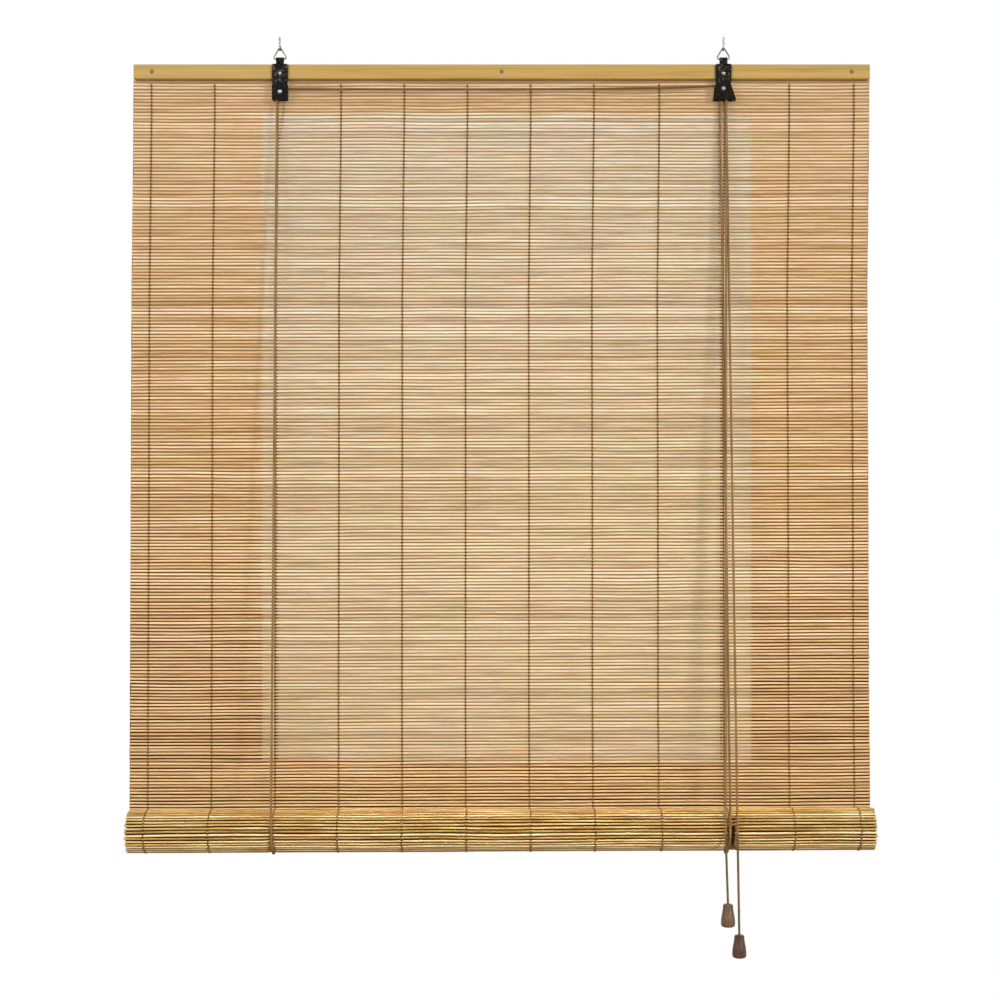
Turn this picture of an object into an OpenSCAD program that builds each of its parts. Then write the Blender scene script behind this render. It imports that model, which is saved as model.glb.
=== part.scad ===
// Bamboo roll up blind: a mat of split bamboo slats hangs from a head rail and is
// wound up at its foot by two cord loops that pass under the roll.
// X runs across the blind, the front faces -Y and Z is up.
// The origin is midway between the two hook shanks, in the ceiling plane.

/* [Mat] */
// How far the slats stand past each end of the head rail
slat_over = 2; // [0:0.5:6]
// Length of flat mat from the head rail down to the middle of the roll
mat_drop = 915; // [500:1:1400]
// Distance from one slat to the next
slat_pitch = 4; // [3.6:0.1:6]
// Height of one slat
slat_h = 2.7; // [2:0.1:3.2]
// Thickness of one slat, front to back
slat_t = 2.2; // [1.6:0.1:2.6]

/* [Warp threads] */
// Number of thread lines that bind the slats
warp_count = 12; // [4:2:16]
// Distance from the mat's side to its outer thread
warp_inset = 20; // [10:1:40]
// Width of a thread line
thread_w = 1.2; // [0.8:0.1:2]
// Thickness of a thread where it crosses a slat
thread_t = 0.5; // [0.3:0.1:0.8]

/* [Roll] */
// Radius of the roll, to the middle of its outer turn
roll_r = 26; // [20:1:40]
// Distance between two turns of the roll
turn_pitch = 3; // [2.9:0.1:5]
// Diameter of the rod that the roll is wound on
rod_d = 12; // [8:1:20]

/* [Head rail] */
// Length of the head rail, the width that the blind is sold by
rail_l = 900; // [600:10:1200]
// Height of the head rail
rail_h = 18; // [16:1:30]
// Thickness of the head rail
rail_t = 8; // [7:0.5:15]
// Thickness of the lath behind the mat
lath_t = 3; // [2:0.5:6]
// Radius of the rail's long edges
rail_edge_r = 1.5; // [0.5:0.5:3]
// Shank diameter of the nails in the rail
nail_d = 1.7; // [1.2:0.1:2.4]
// Distance from the rail's end to its outer nail
nail_inset = 22; // [15:1:40]
// How far the nail of a tab sits below the middle of the rail
tab_nail_drop = 2.5; // [0:0.5:3]

/* [Hooks and rings] */
// Wire diameter of a hook, which is also its screw's diameter
hook_d = 2.2; // [1.8:0.1:2.4]
// Radius of the hook's bend, to the middle of its wire
hook_r = 3; // [2.8:0.1:4]
// Length of the screw above the ceiling plane
screw_l = 10; // [8:1:30]
// Wire diameter of a ring
ring_d = 1.8; // [1.5:0.1:2]
// Width of a ring between the middles of its wire
ring_w = 14.6; // [13:0.2:20]
// Height of a ring between the middles of its wire
ring_h = 13; // [11:0.5:20]
// Depth of a ring's straight side below the ceiling plane
ring_z = 17; // [16:0.5:26]

/* [Tabs and blocks] */
// Distance from the rail's end to the middle of a hanger
hanger_inset = 179; // [100:1:220]
// Width of a leatherette tab
tab_w = 19.5; // [17:0.5:26]
// Thickness of the leatherette
tab_t = 1.2; // [0.8:0.1:1.6]
// Gap between the ring's straight side and the top of the rail
neck_l = 6; // [5:0.5:12]
// Depth of the left axle below the rail
left_axle_drop = 16; // [14:0.5:24]
// Depth of the right axle below the rail
right_axle_drop = 12; // [11:0.5:20]
// Sheet thickness of the pulley blocks
sheet_t = 0.8; // [0.6:0.1:1]
// Height of a pulley block
block_h = 20; // [17:0.5:24]
// Slope of the right block's flared side
flare_deg = 19; // [14:1:22]

/* [Pulleys] */
// Diameter of the rivet that each pulley turns on
axle_d = 2.4; // [2:0.1:2.8]
// Radius of the pulley at the foot of its groove
groove_r = 2.4; // [2.2:0.1:3]
// Radius of the pulley's flange
flange_r = 4.4; // [4.2:0.1:5]
// Width of a pulley's rim beside each groove
rim_w = 0.4; // [0.3:0.1:0.6]
// Diameter of the lock roller
roller_d = 4; // [3.6:0.1:4.4]
// Number of ridges round the lock roller
roller_teeth = 16; // [10:1:24]

/* [Cords and tassels] */
// Diameter of the cords
cord_d = 2.6; // [2:0.1:2.8]
// Height of a wooden tassel
tassel_h = 27; // [22:1:40]
// Diameter of a tassel where it is widest
tassel_d = 17; // [14:0.5:24]
// Diameter of a tassel at its top
tassel_top_d = 12; // [9:0.5:13]
// Hanging height of the left tassel's top below the middle of the roll
left_tassel_drop = 84; // [60:1:200]
// Hanging height of the right tassel's top below the middle of the roll
right_tassel_drop = 121; // [60:1:200]

/* [Hidden] */
$fn = 48;

// Clearances: a running fit on a pin, room between parts that pass, and a slip fit
fit_gap = 0.1;
run_gap = 0.3;
slip_gap = 0.05;

// Heights
bar_z = -ring_z;
rail_top = bar_z - neck_l;
rail_foot = rail_top - rail_h;
roll_z = rail_foot - mat_drop;
left_axle_z = rail_foot - left_axle_drop;
right_axle_z = rail_foot - right_axle_drop;

// Depths, from the hook's shank to the back: ring, tab, rail, mat and lath
ring_y = hook_r;
ring_corner_r = ring_d / 2 + hook_d / 2 + 2 * fit_gap;
loop_bore_r = ring_d / 2 + fit_gap;
loop_r = loop_bore_r + tab_t;
tab_y = ring_y - loop_r;
tail_y = tab_y + tab_t;
rail_y = tail_y + tab_t;
mat_y = rail_y + rail_t + slat_t / 2;
lath_y = mat_y + slat_t / 2;
block_y = tab_y - sheet_t;
pulley_y = tail_y + run_gap;
roll_y = mat_y - roll_r;

// Places across the blind
mat_w = rail_l + 2 * slat_over;
hanger_x = rail_l / 2 - hanger_inset;
warp_pitch = (mat_w - 2 * warp_inset) / (warp_count - 1);
warp_x = [for (i = [0 : warp_count - 1]) (i - (warp_count - 1) / 2) * warp_pitch];
nail_x = [nail_inset - rail_l / 2, 0, rail_l / 2 - nail_inset];
nail_z = rail_top - rail_h / 2;
tab_nail_z = nail_z - tab_nail_drop;

// Wood left beyond a tab's nail and a staple, and the room at a nail's point
nail_skin = 2;
staple_skin = 0.9;
point_gap = 0.4;

// Mat: slats are counted up from the middle of the roll
web_t = 0.8;
slat_gap = slat_pitch - slat_h;
slat_bevel = 0.55;
flat_slats = floor((mat_drop + rail_h - 1) / slat_pitch);
mat_top = roll_z + flat_slats * slat_pitch;
gap_limit = 120;
gap_step = ceil(flat_slats / gap_limit);
gap_margin = 3;
function gap_foot(i) = roll_z + i * slat_pitch - slat_gap / 2;

// Roll: a spiral that starts at the back, where the mat comes down to it
turn_k = turn_pitch / 360;
roll_turns = (roll_r - slat_t / 2 - rod_d / 2 - run_gap) / turn_pitch;
function spiral_r(a) = roll_r - turn_k * a;
function spiral_at(a, off) =
    [roll_y + (spiral_r(a) + off) * cos(a), roll_z - (spiral_r(a) + off) * sin(a)];
// Angle at which a length of mat has been wound on
function wound_angle(s) =
    let (k = turn_pitch / (2 * PI))
    (roll_r - sqrt(roll_r * roll_r - 2 * k * s)) / k * 180 / PI;
turn_l = 2 * PI * roll_r - PI * turn_pitch;
outer_slats = floor(turn_l / slat_pitch);

// Cords: where they run round the pulleys and the roll
cord_r = cord_d / 2;
groove_gap = 0.1;
lead_r = groove_r + groove_gap + cord_r;
groove_w = cord_d + 2 * groove_gap;
groove_pitch = groove_w + rim_w;
front_groove_y = pulley_y + rim_w + groove_w / 2;
rear_groove_y = front_groove_y + groove_pitch;
thread_seat = 0.1;
sling_r = roll_r + slat_t / 2 + thread_seat + thread_t + run_gap + cord_r;
sling_front_y = roll_y - sling_r;
sling_rear_y = roll_y + sling_r;
cord_tie_y = lath_y + lath_t + slip_gap + cord_r;
staple_r = 0.5;
staple_y = cord_tie_y + cord_r + slip_gap + staple_r;
left_loop_x = -hanger_x - lead_r;
right_loop_x = hanger_x - lead_r;
pull_x = hanger_x + lead_r;

// Round stretches of cord: steps of the angle, and the sag of the run across
bend_steps = 4;
sling_steps = 10;
cross_sag = 2;

// Pulley blocks, as places beside their axle
left_block_up = 9.5;
right_block_up = 6;
block_in = 10;
block_splay = 2.4;
block_edge_r = 1.5;
lip_l = 3.2;
rivet_head_r = 2.6;
rivet_head_h = 1.1;
rivet_tail_r = 1.9;
rivet_tail_h = 0.5;
single_w = groove_w + 2 * rim_w;
double_w = single_w + groove_pitch;
left_inside = single_w + tab_t + 2 * run_gap;
right_inside = double_w + tab_t + 2 * run_gap;
left_depth = left_inside + 2 * sheet_t;
right_depth = right_inside + 2 * sheet_t;
roller_x = lead_r + cord_r + run_gap + roller_d / 2;
flare_wall = (roller_d / 2 + run_gap) / cos(flare_deg);
function flare_x(z) = roller_x + flare_wall - z * tan(flare_deg);

// Routes of the free pull cords, from the pulley to the roll's front and down to the tassel,
// as they hang to the side of the right hanger
left_touch_side = 2;
right_touch_side = 11.5;
right_tassel_side = 13.5;
left_pull_touch = [hanger_x + left_touch_side, sling_front_y, roll_z];
right_pull_touch = [hanger_x + right_touch_side, sling_front_y, roll_z];
left_tassel_at = [hanger_x, sling_front_y, roll_z - left_tassel_drop];
right_tassel_at = [hanger_x + right_tassel_side, sling_front_y, roll_z - right_tassel_drop];
left_pull_route = [[pull_x, front_groove_y, right_axle_z], left_pull_touch];
right_pull_route = [[pull_x, rear_groove_y, right_axle_z], right_pull_touch];

// Tassel: bore for the cord, and the recess below that hides the knot
tassel_bore_r = cord_r + 0.2;
knot_r = 2.6;
knot_room_r = knot_r + 0.4;
knot_room_h = 6;

// Shapes drawn in the YZ plane and drawn out along X
module across(w) {
    rotate([90, 0, 90])
        linear_extrude(w, center = true)
            children();
}

// Shapes drawn in the XZ plane and drawn out towards the back from y
module backwards(y, depth) {
    translate([0, y + depth, 0])
        rotate([90, 0, 0])
            linear_extrude(depth)
                children();
}

// Round bar along Y
module pin_y(y, length, r) {
    translate([0, y, 0])
        rotate([-90, 0, 0])
            cylinder(h = length, r = r);
}

// Rectangle with round corners, centred across and standing on z
module rounded_plate(w, z, h, r) {
    translate([-w / 2 + r, z])
        square([w - 2 * r, h]);
    translate([-w / 2, z + r])
        square([w, h - 2 * r]);
    for (x = [-w / 2 + r, w / 2 - r], y = [z + r, z + h - r])
        translate([x, y])
            circle(r);
}

// Tube of 8 sides through points, with a ring square to each direction
module tube(points, along, side) {
    sides = 8;
    count = len(points);
    verts = [
        for (i = [0 : count - 1], k = [0 : sides - 1])
            let (a = 360 * k / sides, up = cross(along[i], side))
            points[i] + cord_r * (cos(a) * side + sin(a) * up)
    ];
    walls = [
        for (i = [0 : count - 2], k = [0 : sides - 1])
            let (n = (k + 1) % sides, b = i * sides)
            [b + k, b + sides + k, b + sides + n, b + n]
    ];
    first = [for (k = [0 : sides - 1]) k];
    last = [for (k = [sides - 1 : -1 : 0]) (count - 1) * sides + k];
    polyhedron(points = verts, faces = concat([first], walls, [last]), convexity = 4);
}

// Tube along a run that is nearly upright, with level ends
module hanging_tube(points) {
    tube(points, [for (p = points) [0, 0, 1]], [1, 0, 0]);
}

// Screw hook: a pointed shank that bends round below the ceiling into a half ring
module hook(x) {
    bend_z = bar_z + ring_h - ring_d / 2 - hook_d / 2 - fit_gap + hook_r;
    bend_deg = 200;
    point_l = hook_d;
    color("silver")
        translate([x, 0, 0]) {
            translate([0, 0, bend_z])
                cylinder(h = screw_l - point_l - bend_z, d = hook_d);
            translate([0, 0, screw_l - point_l])
                cylinder(h = point_l, r1 = hook_d / 2, r2 = 0.2);
            translate([0, hook_r, bend_z])
                rotate([90, 0, 90])
                    rotate([0, 0, 180])
                        rotate_extrude(angle = bend_deg)
                            translate([hook_r, 0])
                                circle(d = hook_d);
            translate([0, hook_r - hook_r * cos(bend_deg), bend_z - hook_r * sin(bend_deg)])
                sphere(d = hook_d);
        }
}

// Triangular ring of bent wire: three straight sides and three equal corners,
// where bending has drawn the wire a little thinner
module ring(x) {
    bend_d = ring_d - 0.04;
    half = ring_w / 2 - ring_corner_r;
    rise = ring_h - 2 * ring_corner_r;
    side_l = sqrt(half * half + rise * rise);
    lean = atan2(half, rise);
    color("silver")
        translate([x, ring_y, bar_z]) {
            rotate([0, 90, 0])
                cylinder(h = 2 * half, d = ring_d, center = true);
            for (s = [0, 1])
                mirror([s, 0, 0])
                    translate([half, 0, ring_corner_r]) {
                        rotate([90, 0, 0])
                            rotate([0, 0, -90])
                                rotate_extrude(angle = 90 + lean)
                                    translate([ring_corner_r, 0])
                                        circle(d = bend_d);
                        rotate([0, -lean, 0])
                            translate([ring_corner_r, 0, 0])
                                cylinder(h = side_l, d = ring_d);
                    }
            translate([0, 0, ring_corner_r + rise])
                rotate([90, 0, 0])
                    rotate([0, 0, lean])
                        rotate_extrude(angle = 180 - 2 * lean)
                            translate([ring_corner_r, 0])
                                circle(d = bend_d);
        }
}

// Leatherette tab: the narrow neck is folded round the ring and lies double on the rail,
// and a tongue below hangs in the pulley block, on its rivet
module tab(x, axle_z, block_up) {
    neck_w = ring_w - 2 * ring_corner_r - 2 * run_gap;
    tongue_w = 2 * (flare_x(right_block_up) - run_gap);
    body_r = 2;
    tongue_foot = axle_z - 5;
    tail_foot = tab_nail_z - 5;
    fold_foot = rail_top + 1;
    body_foot = axle_z + block_up + run_gap;
    color("#232120")
        translate([x, 0, 0])
            difference() {
                union() {
                    backwards(tab_y, tab_t) {
                        rounded_plate(tab_w, body_foot, rail_top - body_foot, body_r);
                        rounded_plate(tongue_w, tongue_foot, body_foot + body_r - tongue_foot, body_r);
                        translate([-neck_w / 2, rail_top - body_r])
                            square([neck_w, bar_z - rail_top + body_r]);
                    }
                    translate([-neck_w / 2, tail_y, tail_foot])
                        cube([neck_w, tab_t, fold_foot - tail_foot]);
                    across(neck_w)
                        polygon([
                            [ring_y + loop_bore_r, bar_z],
                            [ring_y + loop_r, bar_z],
                            [rail_y, fold_foot],
                            [tail_y, fold_foot]
                        ]);
                    translate([0, ring_y, bar_z])
                        rotate([0, 90, 0])
                            cylinder(h = neck_w, r = loop_r, center = true);
                }
                translate([0, ring_y, bar_z])
                    rotate([0, 90, 0])
                        cylinder(h = neck_w + 2, r = loop_bore_r, center = true);
                translate([0, 0, tab_nail_z])
                    pin_y(tab_y - 1, 2 * tab_t + 2, nail_d / 2 + slip_gap);
                translate([0, 0, axle_z])
                    pin_y(tab_y - 1, tab_t + 2, axle_d / 2 + slip_gap);
            }
}

// Two domed nails that hold the tabs to the rail
module tab_nails() {
    head_r = 2.1;
    head_h = 0.9;
    color("silver")
        for (x = [-hanger_x, hanger_x])
            translate([x, 0, tab_nail_z]) {
                pin_y(tab_y, 2 * tab_t + rail_t - nail_skin - point_gap, nail_d / 2);
                domed_head(tab_y, head_r, head_h);
            }
}

// Shallow domed head that stands out to the front of y
module domed_head(y, r, h) {
    dome_r = (r * r + h * h) / (2 * h);
    translate([0, y, 0])
        rotate([90, 0, 0])
            intersection() {
                translate([0, 0, h - dome_r])
                    sphere(r = dome_r);
                cylinder(h = h, r = r + 1);
            }
}

// Head rail: a bamboo lath with rounded long edges, drilled for its nails
module head_rail() {
    color("#c8a45c")
        difference() {
            across(rail_l)
                translate([rail_y + rail_t / 2, 0])
                    rounded_plate(rail_t, rail_foot, rail_h, rail_edge_r);
            for (x = nail_x)
                translate([x, 0, nail_z])
                    pin_y(rail_y - 1, rail_t + 2, nail_d / 2 + slip_gap);
            for (x = [-hanger_x, hanger_x])
                translate([x, 0, tab_nail_z])
                    pin_y(rail_y - 1, rail_t - nail_skin + 1, nail_d / 2 + slip_gap);
        }
}

// Thin lath that clamps the top of the mat against the rail
module rear_lath() {
    lath_edge_r = 0.8;
    color("#c0985a")
        difference() {
            across(rail_l)
                translate([lath_y + lath_t / 2, 0])
                    rounded_plate(lath_t, rail_foot, rail_h, lath_edge_r);
            for (x = nail_x)
                translate([x, 0, nail_z])
                    pin_y(lath_y - 1, lath_t + 2, nail_d / 2 + slip_gap);
            for (x = [left_loop_x, right_loop_x])
                staple_legs(x, slip_gap);
        }
}

// Three nails through rail, mat and lath
module rail_nails() {
    head_r = 2.6;
    head_h = 0.7;
    color("#77706a")
        for (x = nail_x)
            translate([x, 0, nail_z]) {
                pin_y(rail_y, rail_t + slat_t + lath_t - point_gap, nail_d / 2);
                domed_head(rail_y, head_r, head_h);
            }
}

// One side of slat i, from the groove below it to its crest: s is -1 in front and 1 behind
function slat_side(i, s) =
    let (z = roll_z + i * slat_pitch)
    [
        [mat_y + s * web_t / 2, z],
        [mat_y + s * slat_t / 2, z + slat_gap / 2 + slat_bevel],
        [mat_y + s * slat_t / 2, z + slat_pitch - slat_gap / 2 - slat_bevel]
    ];

// Flat mat: one wall of slat ridges, open between pairs of slats
module mat() {
    rear = [for (i = [0 : flat_slats - 1]) each slat_side(i, 1)];
    front = [for (i = [0 : flat_slats - 1]) each slat_side(i, -1)];
    front_down = [for (i = [len(front) - 1 : -1 : 0]) front[i]];
    top_edge = [for (s = [1, -1]) [mat_y + s * web_t / 2, mat_top]];
    color("#d2aa70")
        difference() {
            across(mat_w)
                polygon(concat(rear, top_edge, front_down));
            translate([-mat_w, mat_y - slat_t, roll_z - 1])
                cube([2 * mat_w, 2 * slat_t, 1 + slat_gap / 2]);
            for (i = [gap_step : gap_step : flat_slats - 1])
                translate([-mat_w / 2 + gap_margin, mat_y - slat_t, gap_foot(i)])
                    cube([mat_w - 2 * gap_margin, 2 * slat_t, slat_gap]);
            for (x = nail_x)
                translate([x, 0, nail_z])
                    pin_y(mat_y - slat_t, 2 * slat_t, nail_d / 2 + slip_gap);
        }
}

// Warp threads on the flat mat, in front of the slats and behind them
module warp_threads() {
    foot = roll_z + slat_gap;
    front_top = rail_foot;
    color("#5a4028")
        for (x = warp_x) {
            translate([x - thread_w / 2, mat_y - slat_t / 2 - thread_t, foot])
                cube([thread_w, thread_t, front_top - foot]);
            translate([x - thread_w / 2, lath_y, foot])
                cube([thread_w, thread_t, front_top - foot]);
        }
}

// Left block: a folded sheet round the pulley, open on the side the cord leaves by
module left_block() {
    color("#1f1d1c")
        translate([-hanger_x, 0, left_axle_z])
            difference() {
                backwards(block_y, left_depth)
                    rounded_plate(tab_w, left_block_up - block_h, block_h, block_edge_r);
                translate([-tab_w / 2 + sheet_t, block_y + sheet_t, -2 * block_h])
                    cube([2 * tab_w, left_inside, 4 * block_h]);
                pin_y(block_y - 1, left_depth + 2, axle_d / 2 + slip_gap);
            }
}

// Outline of the right block, which flares to one side
module flared_outline(foot) {
    wall = sheet_t / cos(flare_deg);
    polygon([
        [-block_in, right_block_up],
        [-block_in - block_splay, foot],
        [flare_x(foot) + wall, foot],
        [flare_x(right_block_up) + wall, right_block_up]
    ]);
}

// Right block: the cords turn down over its pulley, and the slanted side wedges the lock roller
module right_block() {
    foot = right_block_up - block_h;
    color("#1f1d1c")
        translate([hanger_x, 0, right_axle_z]) {
            difference() {
                backwards(block_y, right_depth)
                    flared_outline(foot);
                backwards(block_y + sheet_t, right_inside)
                    polygon([
                        [-4 * block_in, 2 * block_h],
                        [-4 * block_in, foot - 1],
                        [flare_x(foot - 1), foot - 1],
                        [flare_x(2 * block_h), 2 * block_h]
                    ]);
                pin_y(block_y - 1, right_depth + 2, axle_d / 2 + slip_gap);
            }
            translate([flare_x(foot) - lip_l, block_y, foot])
                cube([lip_l + sheet_t / 2, right_depth, sheet_t]);
        }
}

// Rivet through a block: domed head in front, flat tail behind
module axle(x, z, depth) {
    color("#d8d8d6")
        translate([x, 0, z]) {
            domed_head(block_y, rivet_head_r, rivet_head_h);
            pin_y(block_y, depth + rivet_tail_h, axle_d / 2);
            pin_y(block_y + depth, rivet_tail_h, rivet_tail_r);
        }
}

// Grooved wheel that turns on the rivet
module pulley(x, z, grooves) {
    w = single_w + (grooves - 1) * groove_pitch;
    color("#4a3a2c")
        translate([x, pulley_y, z])
            rotate([-90, 0, 0])
                difference() {
                    cylinder(h = w, r = flange_r);
                    translate([0, 0, -1])
                        cylinder(h = w + 2, r = axle_d / 2 + slip_gap);
                    for (i = [0 : grooves - 1])
                        translate([0, 0, rim_w + groove_w / 2 + i * groove_pitch])
                            rotate_extrude() {
                                translate([groove_r + groove_w / 2, 0])
                                    circle(d = groove_w);
                                translate([groove_r + groove_w / 2, -groove_w / 2])
                                    square([flange_r, groove_w]);
                            }
                }
}

// Ridged roller that lies loose between the cords and the slanted side
module lock_roller() {
    tooth_h = 0.25;
    outline = [
        for (i = [0 : 2 * roller_teeth - 1])
            let (a = 180 * i / roller_teeth, r = roller_d / 2 - (i % 2) * tooth_h)
            [r * cos(a), r * sin(a)]
    ];
    color("#b89a4a")
        translate([hanger_x + roller_x, 0, right_axle_z])
            backwards(pulley_y, double_w)
                polygon(outline);
}

// Point on the roll's outer turn, a length s along the mat from where it leaves the flat
function outer_point(s, off) = spiral_at(wound_angle(s), off);

// Roll: the wound part of the mat as one spiral wall, ridged where its outer turn shows
module roll() {
    ridges = [
        for (i = [0 : outer_slats - 1])
            let (s = i * slat_pitch + slat_gap / 2)
            each [
                outer_point(s, web_t / 2),
                outer_point(s + slat_bevel, slat_t / 2),
                outer_point(s + slat_h - slat_bevel, slat_t / 2),
                outer_point(s + slat_h, web_t / 2)
            ]
    ];
    a_ridge_end = wound_angle(outer_slats * slat_pitch);
    a_end = roll_turns * 360;
    turn_step = 15;
    outer = [for (a = [a_ridge_end : turn_step : a_end]) spiral_at(a, slat_t / 2)];
    inner = [for (a = [a_end : -turn_step : 0]) spiral_at(a, -slat_t / 2)];
    head = [spiral_at(0, -slat_t / 2)];
    color("#cda45e")
        across(mat_w)
            polygon(concat(ridges, outer, [spiral_at(a_end, slat_t / 2)], inner, head));
}

// Warp threads round the outer turn of the roll
module roll_threads() {
    s_end = turn_l - 2 * slat_pitch;
    seat = slat_t / 2 + thread_seat;
    stops = [for (s = [slat_gap : slat_pitch : s_end]) s];
    low = [for (s = stops) outer_point(s, seat)];
    high = [for (i = [len(stops) - 1 : -1 : 0]) outer_point(stops[i], seat + thread_t)];
    color("#5a4028")
        for (x = warp_x)
            translate([x, 0, 0])
                across(thread_w)
                    polygon(concat(low, high));
}

// Wooden rod at the foot of the mat, which the roll is wound on
module bottom_rod() {
    color("#b98d55")
        translate([0, roll_y, roll_z])
            rotate([0, 90, 0])
                cylinder(h = rail_l, d = rod_d, center = true);
}

// Rear run of a loop: from its staple on the lath down behind the mat to the roll
module rear_cord(x) {
    end_top = nail_z + 6;
    color("#857252")
        hanging_tube([
            [x, sling_rear_y, roll_z],
            [x, cord_tie_y, rail_foot - 2],
            [x, cord_tie_y, end_top]
        ]);
}

// Part of a loop that carries the roll: half a turn below it, from back to front
module sling_cord(x) {
    angles = [for (i = [0 : sling_steps]) -180 * i / sling_steps];
    color("#857252")
        tube(
            [for (a = angles) [x, roll_y + sling_r * cos(a), roll_z + sling_r * sin(a)]],
            [for (a = angles) [0, sin(a), -cos(a)]],
            [1, 0, 0]
        );
}

// Front run of a loop: from the roll up to its pulley
module front_cord(x, y, z) {
    color("#857252")
        hanging_tube([[x, sling_front_y, roll_z], [x, y, z]]);
}

// Angles of a bend over a pulley, and points and directions along it
function bend_angles(from, to) = [for (i = [0 : bend_steps]) from + (to - from) * i / bend_steps];
function bend_points(x, y, z, angles) = [for (a = angles) [x + lead_r * cos(a), y, z + lead_r * sin(a)]];
function bend_ways(angles) = [for (a = angles) [sin(a), 0, -cos(a)]];

// Left cord from the top of its front run, over the left pulley and across to the right one
module left_lead_cord() {
    rise = bend_angles(180, 90);
    fall = bend_angles(90, 0);
    shares = [0.25, 0.5, 0.75];
    start_z = left_axle_z + lead_r;
    end_z = right_axle_z + lead_r;
    span = [
        for (t = shares)
            [
                -hanger_x + 2 * hanger_x * t,
                front_groove_y,
                start_z + (end_z - start_z) * t - 4 * cross_sag * t * (1 - t)
            ]
    ];
    color("#857252")
        tube(
            concat(
                bend_points(-hanger_x, front_groove_y, left_axle_z, rise),
                span,
                bend_points(hanger_x, front_groove_y, right_axle_z, fall)
            ),
            concat(bend_ways(rise), [for (t = shares) [1, 0, 0]], bend_ways(fall)),
            [0, 1, 0]
        );
}

// Right cord where it turns over the rear groove of the right pulley
module right_lead_cord() {
    over = concat(bend_angles(180, 90), [for (i = [1 : bend_steps]) 90 - 90 * i / bend_steps]);
    color("#857252")
        tube(bend_points(hanger_x, rear_groove_y, right_axle_z, over), bend_ways(over), [0, 1, 0]);
}

// Legs of a staple in the lath, grown by a clearance when they cut their holes
module staple_legs(x, clear) {
    for (s = [-1, 1])
        translate([x + s * (cord_r + staple_r + slip_gap), 0, nail_z])
            pin_y(lath_y + staple_skin, staple_y - lath_y - staple_skin, staple_r + clear);
}

// Two staples that hold the cords' ends to the back of the lath
module cord_staples() {
    color("#9a958c")
        for (x = [left_loop_x, right_loop_x]) {
            staple_legs(x, 0);
            translate([x, staple_y, nail_z])
                rotate([0, 90, 0])
                    cylinder(h = cord_d + 2 * slip_gap + 4 * staple_r, r = staple_r, center = true);
        }
}

// Pull cord from the right pulley down to where it lies on the roll's front
module pull_top(route) {
    color("#857252")
        hanging_tube([route[1], route[0]]);
}

// Pull cord from the roll's front down into its tassel
module pull_end(touch, at) {
    color("#857252")
        hanging_tube([at - [0, 0, tassel_h - knot_room_h], at, touch]);
}

// Turned wooden tassel: a bell with a rounded foot, bored for the cord and its knot
module tassel(at, shade) {
    foot_r = 2.5;
    belly = tassel_d / 2;
    top = tassel_top_d / 2;
    shoulder = 1.2;
    belly_h = tassel_h * 0.2;
    steps = 8;
    flank = [
        for (i = [0 : steps])
            let (t = i / steps, ease = (1 - cos(180 * t)) / 2)
            [belly + (top - belly) * ease, belly_h + (tassel_h - shoulder - belly_h) * t]
    ];
    color(shade)
        translate(at - [0, 0, tassel_h])
            difference() {
                rotate_extrude()
                    polygon(concat(
                        [[0, 0], [belly - foot_r, 0], [belly - foot_r / 3, foot_r / 3], [belly, foot_r]],
                        flank,
                        [[top - shoulder, tassel_h], [0, tassel_h]]
                    ));
                translate([0, 0, -1])
                    cylinder(h = tassel_h + 2, r = tassel_bore_r);
                translate([0, 0, -1])
                    cylinder(h = knot_room_h + 1, r = knot_room_r);
            }
}

// Knot that holds a tassel on its cord
module knot(at) {
    color("#857252")
        translate(at - [0, 0, tassel_h - knot_room_h + knot_r + slip_gap])
            sphere(r = knot_r);
}

hook(-hanger_x);  // left_hook
hook(hanger_x);  // right_hook
ring(-hanger_x);  // left_ring
ring(hanger_x);  // right_ring
tab(-hanger_x, left_axle_z, left_block_up);  // left_tab
tab(hanger_x, right_axle_z, right_block_up);  // right_tab
tab_nails();
head_rail();
rear_lath();
rail_nails();
mat();
warp_threads();
left_block();
right_block();
axle(-hanger_x, left_axle_z, left_depth);  // left_axle
axle(hanger_x, right_axle_z, right_depth);  // right_axle
pulley(-hanger_x, left_axle_z, 1);  // left_pulley
pulley(hanger_x, right_axle_z, 2);  // right_pulley
lock_roller();
roll();
roll_threads();
bottom_rod();
rear_cord(left_loop_x);  // left_rear_cord
sling_cord(left_loop_x);  // left_sling_cord
front_cord(left_loop_x, front_groove_y, left_axle_z);  // left_front_cord
left_lead_cord();
rear_cord(right_loop_x);  // right_rear_cord
sling_cord(right_loop_x);  // right_sling_cord
front_cord(right_loop_x, rear_groove_y, right_axle_z);  // right_front_cord
right_lead_cord();
cord_staples();
pull_top(left_pull_route);  // left_pull_top
pull_end(left_pull_touch, left_tassel_at);  // left_pull_end
pull_top(right_pull_route);  // right_pull_top
pull_end(right_pull_touch, right_tassel_at);  // right_pull_end
tassel(left_tassel_at, "#756050");  // left_tassel
tassel(right_tassel_at, "#5a3d2e");  // right_tassel
knot(left_tassel_at);  // left_knot
knot(right_tassel_at);  // right_knot
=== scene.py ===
import math
import bpy
import numpy as np
from mathutils import Matrix, Vector


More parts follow.
